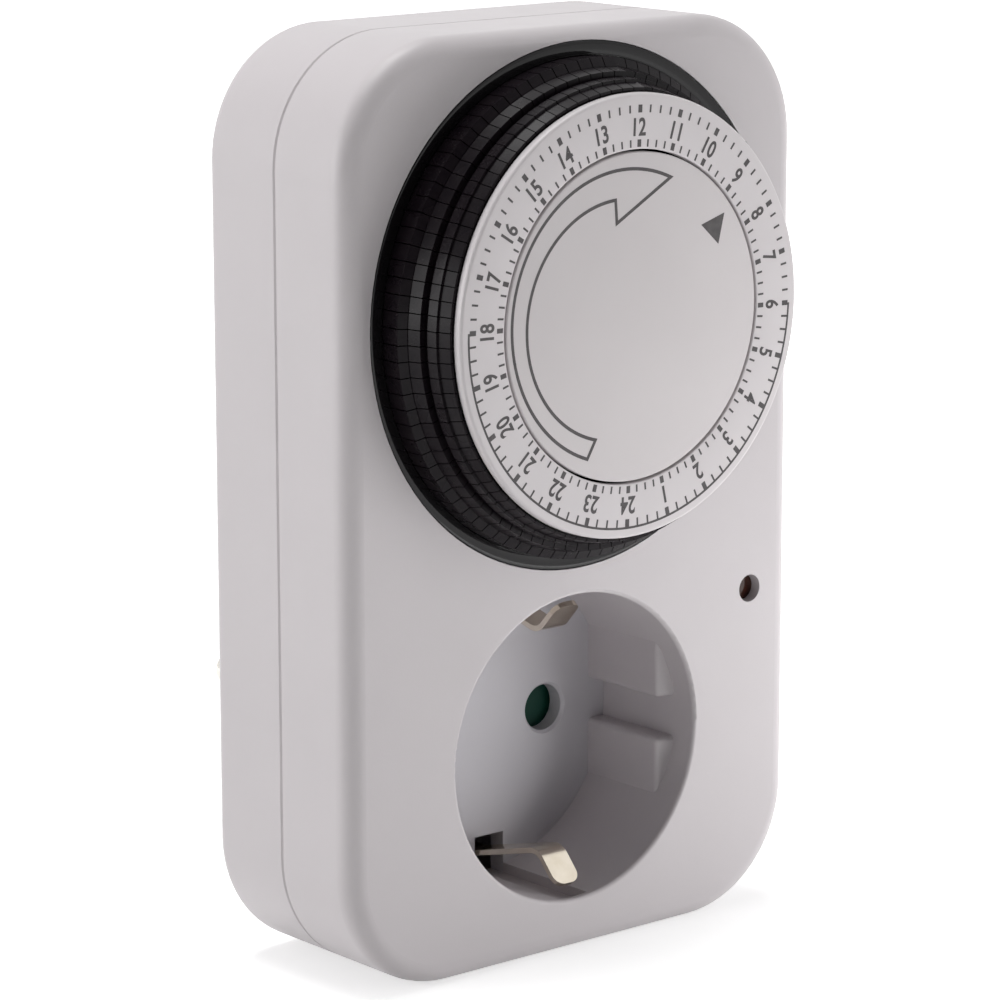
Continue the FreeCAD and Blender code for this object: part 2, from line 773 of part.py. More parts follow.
tail_slot = block((tail_inner_radius - sliding_clearance, tail_outer_radius + sliding_clearance),
                  (depth(wheel_plate_depth), wheel_back),
                  (dial_z - tail_half_width - sliding_clearance,
                   dial_z + tail_half_width + sliding_clearance))
slots = []
for index in range(hours * pins_per_hour):
    slots.append(about_dial(tail_slot, noon_angle + (index + 0.5) * step_angle))
bore = cylinder(post_radius + running_clearance, height(hub_top_height), depth(hub_end_depth),
                0, dial_z)
save("dial_wheel", wheel.cut([bore, Part.makeCompound(slots)]))

# White ring with the hours, and the fixed disc inside it
number_ring = cylinder(number_ring_radius, height(dial_front_height), height(drum_top_height),
                       0, dial_z)
number_ring = number_ring.makeChamfer(number_ring_edge,
                                      edges_at(number_ring, height(dial_front_height)))
number_ring = number_ring.cut(cylinder(number_ring_inner_radius, height(dial_front_height),
                                       height(drum_top_height), 0, dial_z))
save("number_ring", number_ring)

disc_back = height(dial_front_height - centre_disc_thickness)
disc = cylinder(centre_disc_radius, height(dial_front_height), disc_back, 0, dial_z)
skirt = tube(centre_skirt_radius, centre_skirt_radius - centre_skirt_wall, disc_back,
             height(hub_top_height + free_gap), 0, dial_z)
stub = cylinder(centre_disc_stub_radius, disc_back, disc_back + centre_disc_stub_length, 0, dial_z)
save("centre_disc", joined([disc, skirt, stub]))

# Fixed post of the dial, riveted into the mechanism plate
post = cylinder(post_radius, disc_back, depth(plate_depth), 0, dial_z)
post_flange = cylinder(post_flange_radius, depth(hub_end_depth + free_gap), depth(plate_depth),
                       0, dial_z)
rivet = cylinder(post_rivet_radius, depth(plate_depth), depth(plate_back_depth), 0, dial_z)
post = joined([post, post_flange, rivet])
save("centre_post", post.cut(cylinder(centre_disc_stub_radius, disc_back,
                                      disc_back + centre_disc_stub_length, 0, dial_z)))


# One time pin: a wedge with a stepped outer side and a tail through the wheel
def time_pin(start_angle, push):
    profile = [(pin_inner_radius, 0.0), (pin_inner_radius, pin_top_height),
               (pin_top_radius, pin_top_height), (pin_crown_radius, pin_back_high),
               (pin_back_radius - pin_back_slope, pin_back_high), (pin_back_radius, pin_back_low),
               (pin_notch_radius, pin_notch_height), (pin_notch_radius, pin_wall_height),
               (pin_wall_radius, pin_wall_height), (pin_ledge_radius - pin_ledge_edge, pin_ledge_height),
               (pin_ledge_radius, pin_ledge_height), (pin_outer_radius, pin_step_height),
               (pin_outer_radius, 0.0)]
    points = [FreeCAD.Vector(radius, height(rise) + push, dial_z) for radius, rise in profile]
    face = Part.Face(Part.makePolygon(points + [points[0]]))
    gap_angle = math.degrees(pin_gap / pin_outer_radius)
    wedge = face.revolve(FreeCAD.Vector(0, 0, dial_z), FreeCAD.Vector(0, -1, 0),
                         step_angle - gap_angle)
    wedge = about_dial(wedge, gap_angle / 2)
    tail = block((tail_inner_radius, tail_outer_radius),
                 (height(pin_step_height / 2) + push, depth(tail_depth) + push),
                 (dial_z - tail_half_width, dial_z + tail_half_width))
    tail = about_dial(tail, step_angle / 2)
    return about_dial(wedge.fuse(tail).removeSplitter(), start_angle)


def hour_of(index):
    return index / pins_per_hour


# The pins of one hour share a body. The last quarter before noon goes with the hour
# after it, because it stands out while the three quarters before it are pushed in.
groups = {}
for index in range(hours * pins_per_hour):
    hour = index // pins_per_hour
    if index == pressed_end_index:
        hour += 1
    groups.setdefault(hour, []).append(index)
for hour, members in groups.items():
    solids = []
    for index in members:
        pressed = pressed_first_index <= index < pressed_end_index
        angle = noon_angle + (hour_of(index) - hours / 2) * hour_angle
        solids.append(time_pin(angle, pin_travel if pressed else 0.0))
    save("time_pins_%02d" % hour, Part.makeCompound(solids))

# Gear behind the wheel, its slipping clutch, and the train to the motor
idler_distance = gear_module * (dial_gear_teeth + idler_pinion_teeth) / 2
idler_x, idler_z = polar(idler_distance, idler_angle)
motor_distance = gear_module * (idler_wheel_teeth + motor_pinion_teeth) / 2
motor_pinion_x = idler_x + motor_distance * math.cos(math.radians(motor_pinion_angle))
motor_pinion_z = idler_z + motor_distance * math.sin(math.radians(motor_pinion_angle))

dial_gear = gear(dial_gear_teeth, depth(dial_gear_depth),
                 depth(dial_gear_depth + dial_gear_thickness), 0, dial_z, idler_angle)
save("dial_gear", dial_gear.cut(cylinder(hub_radius + same_body_clearance, depth(dial_gear_depth),
                                         depth(dial_gear_depth + dial_gear_thickness), 0, dial_z)))

washer_y = depth(dial_gear_depth + dial_gear_thickness)
washer_back = washer_y + washer_thickness
washer = tube(washer_outer_radius, washer_inner_radius, washer_y, washer_back, 0, dial_z)
spring_part = tube(hub_lip_radius, washer_inner_radius, washer_back, washer_back + washer_rise,
                   0, dial_z)
washer = washer.fuse(spring_part)
save("clutch_washer", washer.removeSplitter())

idler_pinion_start = idler_angle + half_turn + half_turn / idler_pinion_teeth
idler = gear(idler_pinion_teeth, depth(idler_front_depth), depth(idler_wheel_depth),
             idler_x, idler_z, idler_pinion_start)
idler_wheel = gear(idler_wheel_teeth, depth(idler_wheel_depth),
                   depth(idler_wheel_depth + idler_wheel_thickness), idler_x, idler_z,
                   motor_pinion_angle)
idler_hub = cylinder(stud_radius + idler_hub_wall, depth(idler_wheel_depth), depth(idler_end_depth),
                     idler_x, idler_z)
idler = joined([idler, idler_wheel, idler_hub])
save("idler_gear", idler.cut(cylinder(stud_radius + running_clearance, depth(idler_front_depth),
                                      depth(idler_end_depth), idler_x, idler_z)))

save("idler_stud", cylinder(stud_radius, depth(idler_front_depth + stud_setback), depth(plate_back_depth),
                            idler_x, idler_z))

motor_pinion_start = motor_pinion_angle + half_turn + half_turn / motor_pinion_teeth
motor_pinion = gear(motor_pinion_teeth, depth(motor_pinion_depth), depth(motor_pinion_end_depth),
                    motor_pinion_x, motor_pinion_z, motor_pinion_start)
motor_shaft = cylinder(stud_radius, depth(motor_pinion_depth), depth(plate_back_depth),
                       motor_pinion_x, motor_pinion_z)
save("motor_pinion", joined([motor_pinion, motor_shaft]))

motor = cylinder(motor_radius, depth(plate_back_depth), depth(plate_back_depth + motor_depth),
                 motor_x, motor_z)
motor = motor.makeFillet(motor_rim, edges_at(motor, depth(plate_back_depth + motor_depth)))
bearing = cylinder(motor_bearing_radius, depth(plate_depth), depth(plate_back_depth),
                   motor_pinion_x, motor_pinion_z)
terminal = block((terminal_x - terminal_half_width, terminal_x + terminal_half_width),
                 (depth(plate_back_depth + motor_depth / 2), load_strap_y - strip_thickness / 2),
                 (terminal_bottom_z, motor_z - motor_radius + terminal_overlap))
motor = joined([motor, bearing, terminal])
save("motor_case", motor.cut(cylinder(stud_radius + running_clearance, depth(plate_depth),
                                      depth(plate_back_depth + motor_bore_relief), motor_pinion_x,
                                      motor_pinion_z)))

# Mechanism plate with ears for the switch lever
plate_y = (depth(plate_depth), depth(plate_back_depth))
upper = slab((-plate_half_width, plate_half_width),
             (plate_top_z - plate_upper_height, plate_top_z), plate_y, plate_corner_radius)
lower = slab((-plate_half_width, plate_half_width),
             (plate_bottom_z, plate_top_z - plate_overlap), plate_y,
             plate_low_corner_radius)
ears = []
for side in (-1, 1):
    near = side * (lever_half_width + ear_gap)
    far = side * (lever_half_width + ear_gap + ear_thickness)
    ears.append(block((lever_pivot_radius - ear_half_length, lever_pivot_radius + ear_half_length),
                      (depth(lever_depth - ear_rise), depth(plate_depth)),
                      (dial_z + near, dial_z + far)))
ears = [about_dial(ear, lever_angle) for ear in ears]
window = block((window_inner_radius, window_outer_radius), plate_y,
               (dial_z - window_half_width, dial_z + window_half_width))
cuts = [about_dial(window, lever_angle)]
for place in upper_posts:
    cuts.append(cylinder(screw_hole_radius, plate_y[0], plate_y[1], *place))
for place in plate_posts:
    cuts.append(cylinder(plate_screw_radius + plate_screw_clearance, plate_y[0], plate_y[1], *place))
cuts.append(cylinder(post_rivet_radius, plate_y[0], plate_y[1], 0, dial_z))
cuts.append(cylinder(stud_radius, plate_y[0], plate_y[1], idler_x, idler_z))
cuts.append(cylinder(motor_bearing_radius, plate_y[0], plate_y[1], motor_pinion_x, motor_pinion_z))
pivot_depth = lever_depth + lever_thickness / 2


def cross_pin(radius, reach):
    base = FreeCAD.Vector(lever_pivot_radius, depth(pivot_depth), dial_z - reach)
    pin = Part.makeCylinder(radius, 2 * reach, base, FreeCAD.Vector(0, 0, 1))
    return about_dial(pin, lever_angle)


ear_reach = lever_half_width + ear_gap + ear_thickness
mechanism_plate = joined([upper, lower] + ears).cut(cuts + [cross_pin(lever_pin_radius, ear_reach)])
save("mechanism_plate", mechanism_plate)
save("lever_pin", cross_pin(lever_pin_radius, ear_reach + lever_pin_overhang))

# Switch lever, plunger and switch
lever = block((lever_pivot_radius, lever_outer_radius),
              (depth(lever_depth), depth(lever_depth + lever_thickness)),
              (dial_z - lever_half_width, dial_z + lever_half_width))
lever = joined([about_dial(lever, lever_angle), cross_pin(lever_barrel_radius, lever_half_width)])
save("switch_lever", lever.cut(cross_pin(lever_pin_radius + running_clearance, lever_half_width)))

plunger_x, plunger_z = polar(plunger_radius_from_dial, lever_angle)
save("switch_plunger", cylinder(plunger_radius, depth(plunger_depth), depth(plunger_end_depth),
                                plunger_x, plunger_z))

case = block((case_x - case_width / 2, case_x + case_width / 2),
             (depth(plate_back_depth), depth(case_end_depth)),
             (case_bottom_z, case_bottom_z + case_height))
supply_y = live_strap_y - strip_thickness / 2
load_y = load_strap_y - strip_thickness / 2
blades = [block((supply_blade_x - blade_half_width, supply_blade_x + blade_half_width),
                (supply_y - blade_thickness, supply_y), (blade_bottom_z, case_bottom_z)),
          block((load_strap_x - blade_half_width, load_strap_x + blade_half_width),
                (load_y - blade_thickness, load_y), (blade_bottom_z, case_bottom_z))]
case = case.cut(cylinder(plunger_radius + running_clearance, depth(plate_back_depth),
                         depth(case_bore_end_depth), plunger_x, plunger_z))
save("switch_case", joined([case] + blades))

# Indicator window and the lamp behind it
lens = joined([cylinder(lens_radius, depth(lens_recess), depth(lens_end_depth), lamp_x, lamp_z),
               cylinder(lens_flange_radius, front_y + wall, front_y + wall + lens_flange_thickness,
                        lamp_x, lamp_z)])
save("indicator_lens", lens)
lamp = cylinder(lamp_radius, depth(lamp_start_depth), depth(lamp_start_depth + lamp_length),
                lamp_x, lamp_z)
lamp = lamp.makeFillet(lamp_dome, edges_at(lamp, depth(lamp_start_depth)))
leads = [cylinder(lamp_lead_radius, depth(lamp_start_depth + lamp_length),
                  depth(lamp_start_depth + lamp_length + lamp_lead_length),
                  lamp_x + side * lamp_radius / 2, lamp_z) for side in (-1, 1)]
save("neon_lamp", joined([lamp] + leads))


# Screws
def screw(x, z, radius, tip_y, seat_y, head_radius, head_height):
    shank = cylinder(radius, tip_y, seat_y, x, z)
    head = cylinder(head_radius, seat_y, seat_y + head_height, x, z)
    slot = block((x - head_radius, x + head_radius),
                 (seat_y + head_height - slot_depth, seat_y + head_height),
                 (z - slot_half_width, z + slot_half_width))
    return joined([shank, head]).cut(slot)


seat = back_y - screw_bore_depth
save("housing_screws", Part.makeCompound(
    [screw(x, z, screw_radius, depth(screw_tip_depth), seat, screw_head_radius, screw_head_height)
     for x, z in upper_posts + lower_posts]))
plate_screw_tip = depth(plate_back_depth) - plate_screw_length
save("plate_screws", Part.makeCompound(
    [screw(x, z, plate_screw_radius, plate_screw_tip, depth(plate_back_depth),
           plate_screw_head_radius, plate_screw_head_height) for x, z in plate_posts]))
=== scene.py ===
import math
import bmesh
import bpy
from mathutils import Matrix, Vector


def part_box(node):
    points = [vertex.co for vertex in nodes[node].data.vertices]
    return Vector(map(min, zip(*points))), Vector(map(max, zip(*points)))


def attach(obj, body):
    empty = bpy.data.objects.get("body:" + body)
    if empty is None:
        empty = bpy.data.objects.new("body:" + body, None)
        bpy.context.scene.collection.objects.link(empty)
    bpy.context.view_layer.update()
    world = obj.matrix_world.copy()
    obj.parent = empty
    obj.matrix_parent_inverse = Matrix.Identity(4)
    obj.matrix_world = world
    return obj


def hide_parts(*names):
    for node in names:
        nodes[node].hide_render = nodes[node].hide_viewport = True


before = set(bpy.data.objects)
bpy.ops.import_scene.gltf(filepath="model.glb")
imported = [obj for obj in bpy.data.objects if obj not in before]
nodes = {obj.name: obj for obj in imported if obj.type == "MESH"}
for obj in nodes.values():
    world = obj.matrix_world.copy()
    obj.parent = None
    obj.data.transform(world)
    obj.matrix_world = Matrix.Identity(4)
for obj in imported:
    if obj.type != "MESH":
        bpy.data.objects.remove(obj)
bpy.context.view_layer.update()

# Plug in timer switch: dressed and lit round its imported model. The dictionaries are in
# millimetres, degrees and watts, with x to the right, y into the wall and z up.
mm = 0.001
scene = bpy.context.scene
scene.view_settings.view_transform = "Standard"
print("model loaded,", len(nodes), "parts")

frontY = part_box("front_shell")[0].y / mm
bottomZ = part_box("front_shell")[0].z / mm
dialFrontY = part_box("number_ring")[0].y / mm
dialZ = (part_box("number_ring")[0].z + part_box("number_ring")[1].z) / 2 / mm

# Camera, set by the rims, the dial and the outline of the real one
cameraLook = {
    "position": (-334.01, -425.07, 140.63),
    "target": (-19.17, -51.08, 35.72),
    "roll": 0.066,
    "lens": 150.56,
    "sensor": 36.0,
    "clipStart": 10.0,
    "clipEnd": 20000.0,
}


def addCamera():
    data = bpy.data.cameras.new("timerCamera")
    data.lens = cameraLook["lens"]
    data.sensor_width = cameraLook["sensor"]
    data.clip_start = cameraLook["clipStart"] * mm
    data.clip_end = cameraLook["clipEnd"] * mm
    camera = bpy.data.objects.new("timerCamera", data)
    scene.collection.objects.link(camera)
    eye = Vector(cameraLook["position"]) * mm
    ahead = (Vector(cameraLook["target"]) * mm - eye).normalized()
    right = ahead.cross(Vector((0, 0, 1))).normalized()
    right = Matrix.Rotation(math.radians(cameraLook["roll"]), 3, ahead) @ right
    up = right.cross(ahead)
    turn = Matrix((right, up, -ahead)).transposed()
    camera.matrix_world = Matrix.Translation(eye) @ turn.to_4x4()
    scene.camera = camera


addCamera()
print("camera set")


def addNoise(tree, where, size, detail):
    noise = tree.nodes.new("ShaderNodeTexNoise")
    noise.inputs["Scale"].default_value = 1.0 / (size * mm)
    noise.inputs["Detail"].default_value = detail
    tree.links.new(where, noise.inputs["Vector"])
    return noise.outputs["Fac"]


# A few pale specks of dust that a black moulding always shows
def addDust(tree, where, colour, dust):
    specks = tree.nodes.new("ShaderNodeTexVoronoi")
    specks.inputs["Scale"].default_value = 1.0 / (dust["spacing"] * mm)
    tree.links.new(where, specks.inputs["Vector"])
    near = tree.nodes.new("ShaderNodeMapRange")
    near.inputs["From Min"].default_value = dust["size"]
    near.inputs["From Max"].default_value = 0.0
    near.inputs["To Max"].default_value = dust["amount"]
    tree.links.new(specks.outputs["Distance"], near.inputs["Value"])
    mix = tree.nodes.new("ShaderNodeMix")
    mix.data_type = "RGBA"
    mix.inputs["B"].default_value = (*dust["colour"], 1)
    tree.links.new(near.outputs["Result"], mix.inputs["Factor"])
    tree.links.new(colour, mix.inputs["A"])
    return mix.outputs["Result"]


# Each surface has a slow drift of colour, a fine grain and uneven gloss. The levels
# are where a noise gives its first and last value.
surfaceLook = {
    "levels": (0.3, 0.7),
    "driftSize": 14.0, "driftDetail": 3.0,
    "smearSize": 5.0, "smearDetail": 4.0,
    "grainSize": 0.25, "grainDetail": 2.0, "brushDetail": 3.0, "grainHeight": 0.05,
    "scatterRadius": (1.2, 1.0, 0.9),
}


def newSurface(name, look):
    surface = bpy.data.materials.new(name)
    surface.use_nodes = True
    tree = surface.node_tree
    shader = tree.nodes["Principled BSDF"]
    shader.inputs["Metallic"].default_value = look.get("metal", 0.0)
    shader.inputs["IOR"].default_value = look.get("ior", 1.46)
    shader.inputs["Specular IOR Level"].default_value = look.get("specular", 0.5)
    shader.inputs["Transmission Weight"].default_value = look.get("clear", 0.0)
    shader.inputs["Subsurface Weight"].default_value = look.get("scatter", 0.0)
    shader.inputs["Subsurface Radius"].default_value = surfaceLook["scatterRadius"]
    shader.inputs["Subsurface Scale"].default_value = mm
    first, last = surfaceLook["levels"]

    where = tree.nodes.new("ShaderNodeTexCoord").outputs["Object"]
    driftSize = look.get("driftSize", surfaceLook["driftSize"])
    drift = addNoise(tree, where, driftSize, surfaceLook["driftDetail"])
    shades = tree.nodes.new("ShaderNodeValToRGB")
    for element, level, shade in zip(shades.color_ramp.elements, (first, last), look["shades"]):
        element.position = level
        element.color = (*shade, 1)
    tree.links.new(drift, shades.inputs["Fac"])
    colour = shades.outputs["Color"]
    if "dust" in look:
        colour = addDust(tree, where, colour, look["dust"])
    tree.links.new(colour, shader.inputs["Base Color"])

    smear = addNoise(tree, where, surfaceLook["smearSize"], surfaceLook["smearDetail"])
    gloss = tree.nodes.new("ShaderNodeMapRange")
    gloss.inputs["From Min"].default_value = first
    gloss.inputs["From Max"].default_value = last
    gloss.inputs["To Min"].default_value = look["rough"][0]
    gloss.inputs["To Max"].default_value = look["rough"][1]
    tree.links.new(smear, gloss.inputs["Value"])
    tree.links.new(gloss.outputs["Result"], shader.inputs["Roughness"])

    grainWhere = where
    grainDetail = surfaceLook["grainDetail"]
    if "brush" in look:
        stretch = tree.nodes.new("ShaderNodeMapping")
        stretch.inputs["Scale"].default_value = look["brush"]
        tree.links.new(where, stretch.inputs["Vector"])
        grainWhere = stretch.outputs["Vector"]
        grainDetail = surfaceLook["brushDetail"]
    grainSize = look.get("grainSize", surfaceLook["grainSize"])
    grain = addNoise(tree, grainWhere, grainSize, grainDetail)
    bump = tree.nodes.new("ShaderNodeBump")
    bump.inputs["Strength"].default_value = look["grain"]
    bump.inputs["Distance"].default_value = surfaceLook["grainHeight"] * mm
    tree.links.new(grain, bump.inputs["Height"])
    tree.links.new(bump.outputs["Normal"], shader.inputs["Normal"])
    return surface


surfaces = {
    "housing": newSurface("housingPlastic", {
        "shades": ((0.592, 0.558, 0.572), (0.610, 0.575, 0.589)),
        "rough": (0.36, 0.44), "grain": 0.16, "grainSize": 0.22, "driftSize": 25.0,
    }),
    # socket floor: the housing plastic with a painted bluish shade tint, the cast of the shade
    # inside the socket cup, so it is a shaded copy of the housing plastic
    "socket": newSurface("socketPlasticShadeTint", {
        "shades": ((0.575, 0.560, 0.590), (0.590, 0.575, 0.605)),
        "rough": (0.36, 0.44), "grain": 0.14, "grainSize": 0.22,
    }),
    "dialWhite": newSurface("dialWhite", {
        "shades": ((0.645, 0.610, 0.622), (0.660, 0.625, 0.637)),
        "rough": (0.34, 0.42), "grain": 0.10, "grainSize": 0.30,
    }),
    "discWhite": newSurface("discWhite", {
        "shades": ((0.615, 0.580, 0.588), (0.630, 0.595, 0.603)),
        "rough": (0.36, 0.44), "grain": 0.12, "grainSize": 0.25,
    }),
    "print": newSurface("printInk", {
        "shades": ((0.060, 0.054, 0.056), (0.085, 0.078, 0.080)),
        "rough": (0.45, 0.60), "grain": 0.20, "grainSize": 0.08, "driftSize": 0.8,
    }),
    "rim": newSurface("rimBlack", {
        "shades": ((0.006, 0.005, 0.006), (0.009, 0.008, 0.009)),
        "rough": (0.05, 0.10), "grain": 0.04, "grainSize": 0.8, "specular": 0.30,
        "dust": {"spacing": 2.6, "size": 0.05, "amount": 0.5, "colour": (0.25, 0.23, 0.23)},
    }),
    "pins": newSurface("pinBlack", {
        "shades": ((0.006, 0.004, 0.006), (0.011, 0.008, 0.010)),
        "rough": (0.22, 0.34), "grain": 0.12, "grainSize": 0.35, "driftSize": 1.6,
        "specular": 0.14,
        "dust": {"spacing": 1.8, "size": 0.06, "amount": 0.25, "colour": (0.15, 0.13, 0.14)},
    }),
    "shutter": newSurface("shutterGreen", {
        "shades": ((0.004, 0.052, 0.034), (0.006, 0.064, 0.042)),
        "rough": (0.35, 0.45), "grain": 0.15,
    }),
    "lens": newSurface("windowBrown", {
        "shades": ((0.060, 0.014, 0.006), (0.090, 0.022, 0.010)),
        "rough": (0.04, 0.10), "grain": 0.04, "clear": 0.55, "ior": 1.49,
    }),
    "lamp": newSurface("lampGlass", {
        "shades": ((0.80, 0.72, 0.66), (0.88, 0.80, 0.74)),
        "rough": (0.02, 0.06), "grain": 0.02, "clear": 0.9, "ior": 1.5,
    }),
    "nickel": newSurface("clipNickel", {
        "shades": ((0.74, 0.66, 0.54), (0.82, 0.75, 0.64)),
        "rough": (0.12, 0.24), "metal": 1.0, "grain": 0.12, "grainSize": 0.10,
        "brush": (1.0, 0.12, 1.0), "driftSize": 3.0,
    }),
    "pinMetal": newSurface("plugPinNickel", {
        "shades": ((0.70, 0.67, 0.62), (0.80, 0.77, 0.72)),
        "rough": (0.14, 0.26), "metal": 1.0, "grain": 0.10, "grainSize": 0.12,
        "brush": (1.0, 0.1, 1.0), "driftSize": 4.0,
    }),
    "brass": newSurface("contactBrass", {
        "shades": ((0.62, 0.43, 0.18), (0.74, 0.54, 0.26)),
        "rough": (0.20, 0.36), "metal": 1.0, "grain": 0.15, "grainSize": 0.15,
    }),
    "steel": newSurface("springSteel", {
        "shades": ((0.42, 0.42, 0.43), (0.56, 0.56, 0.57)),
        "rough": (0.22, 0.38), "metal": 1.0, "grain": 0.15, "grainSize": 0.12,
    }),
    "motor": newSurface("motorZinc", {
        "shades": ((0.46, 0.45, 0.42), (0.60, 0.58, 0.52)),
        "rough": (0.30, 0.48), "metal": 1.0, "grain": 0.20, "grainSize": 0.5, "driftSize": 3.0,
    }),
    "gears": newSurface("gearNatural", {
        "shades": ((0.66, 0.62, 0.52), (0.72, 0.68, 0.58)),
        "rough": (0.30, 0.42), "grain": 0.08, "scatter": 0.1,
    }),
    "inner": newSurface("innerBlack", {
        "shades": ((0.020, 0.020, 0.022), (0.032, 0.032, 0.034)),
        "rough": (0.45, 0.60), "grain": 0.25,
    }),
}


def dress(name, surface):
    node = nodes[name]
    if not node.material_slots:
        node.data.materials.append(None)
    for slot in node.material_slots:
        slot.link = "OBJECT"
        slot.material = surfaces[surface]


dressing = {
    "housing": ["front_shell", "rear_shell"],
    "socket": ["socket_floor"],
    "shutter": ["socket_shutter"],
    "rim": ["dial_wheel"],
    "nickel": ["earth_clips", "plug_earth_strip"],
    "pinMetal": ["plug_pin_live", "plug_pin_neutral"],
    "brass": ["socket_contact_live", "socket_contact_neutral", "live_strap", "load_strap",
              "neutral_strap"],
    "steel": ["shutter_spring", "clutch_washer", "idler_stud", "lever_pin", "housing_screws",
              "plate_screws"],
    "motor": ["motor_case"],
    "gears": ["centre_post", "dial_gear", "idler_gear", "motor_pinion", "switch_lever"],
    "inner": ["mechanism_plate", "switch_plunger", "switch_case"],
    "lens": ["indicator_lens"],
    "lamp": ["neon_lamp"],
    "dialWhite": ["number_ring"],
    "discWhite": ["centre_disc"],
}
for surface, names in dressing.items():
    for name in names:
        dress(name, surface)
for name in nodes:
    if name.startswith("time_pins"):
        dress(name, "pins")
print("surfaces made:", len(surfaces))


# Points closer than weld become one, and edges sharper than sharpFrom stay sharp
meshLook = {
    "weld": 0.0001, "printWeld": 0.002, "sharpFrom": 35.0, "ringSteps": 288, "discSteps": 240,
}


def finishMesh(bm, name, surface, body):
    mesh = bpy.data.meshes.new(name)
    bmesh.ops.remove_doubles(bm, verts=bm.verts, dist=meshLook["weld"] * mm)
    bmesh.ops.recalc_face_normals(bm, faces=bm.faces)
    bm.to_mesh(mesh)
    bm.free()
    for face in mesh.polygons:
        face.use_smooth = True
    mesh.set_sharp_from_angle(angle=math.radians(meshLook["sharpFrom"]))
    mesh.materials.append(surfaces[surface])
    piece = bpy.data.objects.new(name, mesh)
    scene.collection.objects.link(piece)
    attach(piece, body)
    return piece


def onDial(radius, angle, y):
    turn = math.radians(angle)
    return Vector((radius * math.cos(turn), y, dialZ + radius * math.sin(turn))) * mm


# Turns an outline of (radius, y) points round the dial's axis. An open one starts and
# ends on the axis.
def turned(bm, outline, steps, closed=True):
    rings = []
    for step in range(steps):
        angle = 360.0 * step / steps
        rings.append([bm.verts.new(onDial(radius, angle, y)) for radius, y in outline])
    last = len(outline) if closed else len(outline) - 1
    for step in range(steps):
        here = rings[step]
        there = rings[(step + 1) % steps]
        for index in range(last):
            after = (index + 1) % len(outline)
            bm.faces.new([here[index], here[after], there[after], there[index]])


# Arc of (radius, y) points round a corner's centre
def roundedCorner(radius, y, size, fromAngle, toAngle, steps=6):
    points = []
    for step in range(steps + 1):
        turn = math.radians(fromAngle + (toAngle - fromAngle) * step / steps)
        points.append((radius + size * math.cos(turn), y + size * math.sin(turn)))
    return points


# White ring with the hours: a flat face, a rounded outer edge and a fine inner one
ringLook = {
    "outer": 27.2, "inner": 20.45, "thickness": 1.2, "edge": 0.42, "innerEdge": 0.18,
    "faceDrop": 0.03,
}


def buildHourRing():
    front = dialFrontY + ringLook["faceDrop"]
    back = dialFrontY + ringLook["thickness"]
    edge = ringLook["edge"]
    small = ringLook["innerEdge"]
    outline = [(ringLook["outer"], back), (ringLook["inner"], back)]
    outline += roundedCorner(ringLook["inner"] + small, front + small, small, 180, 270)
    outline += roundedCorner(ringLook["outer"] - edge, front + edge, edge, 270, 360, 8)
    bm = bmesh.new()
    turned(bm, outline, meshLook["ringSteps"])
    ring = finishMesh(bm, "hourRing", "dialWhite", "dial")
    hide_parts("number_ring")


buildHourRing()

# Polished rim of the dial wheel, which nearly fills its opening in the housing
rimLook = {"outer": 32.70, "inner": 31.03, "proud": 0.015, "depth": 1.4, "edge": 0.12}


def buildDialRim():
    front = frontY - rimLook["proud"]
    back = frontY + rimLook["depth"]
    edge = rimLook["edge"]
    outline = [(rimLook["outer"], back), (rimLook["inner"], back)]
    outline += roundedCorner(rimLook["inner"] + edge, front + edge, edge, 180, 270, 4)
    outline += roundedCorner(rimLook["outer"] - edge, front + edge, edge, 270, 360, 4)
    bm = bmesh.new()
    turned(bm, outline, meshLook["ringSteps"])
    finishMesh(bm, "dialRim", "rim", "dial")


buildDialRim()

# Fixed disc inside the ring, with its skirt and stub behind
discLook = {
    "radius": 20.15, "thickness": 1.1, "edge": 0.22, "faceDrop": 0.03,
    "skirtOuter": 6.5, "skirtInner": 5.3, "skirtEnd": 6.7, "stubRadius": 2.5, "stubEnd": 6.1,
}


def buildCentreDisc():
    front = dialFrontY + discLook["faceDrop"]
    back = dialFrontY + discLook["thickness"]
    skirtEnd = dialFrontY + discLook["skirtEnd"]
    stubEnd = dialFrontY + discLook["stubEnd"]
    edge = discLook["edge"]
    outline = [(0.0, front)]
    outline += roundedCorner(discLook["radius"] - edge, front + edge, edge, 270, 360)
    outline += [
        (discLook["radius"], back), (discLook["skirtOuter"], back),
        (discLook["skirtOuter"], skirtEnd), (discLook["skirtInner"], skirtEnd),
        (discLook["skirtInner"], back), (discLook["stubRadius"], back),
        (discLook["stubRadius"], stubEnd), (0.0, stubEnd),
    ]
    bm = bmesh.new()
    turned(bm, outline, meshLook["discSteps"], closed=False)
    disc = finishMesh(bm, "centreDisc", "discWhite", "housing")
    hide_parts("centre_disc")


buildCentreDisc()
print("dial ring and disc built")


# Print: thin flat shapes, a hair proud of the faces of the ring and the disc. Noon is
# the angle of the 12, and the hours run against the clock's way.
printLook = {
    "front": 0.012, "back": 0.032, "noon": 88.0, "hourAngle": 15.0,
    "outerTick": (24.85, 25.80), "innerTick": (20.72, 21.62),
    "thickTick": 0.62, "thinTick": 0.26, "innerTickShare": 0.95,
    "nightArc": (25.80, 26.08), "nightStart": 18, "nightHours": 12, "nightSteps": 150,
}


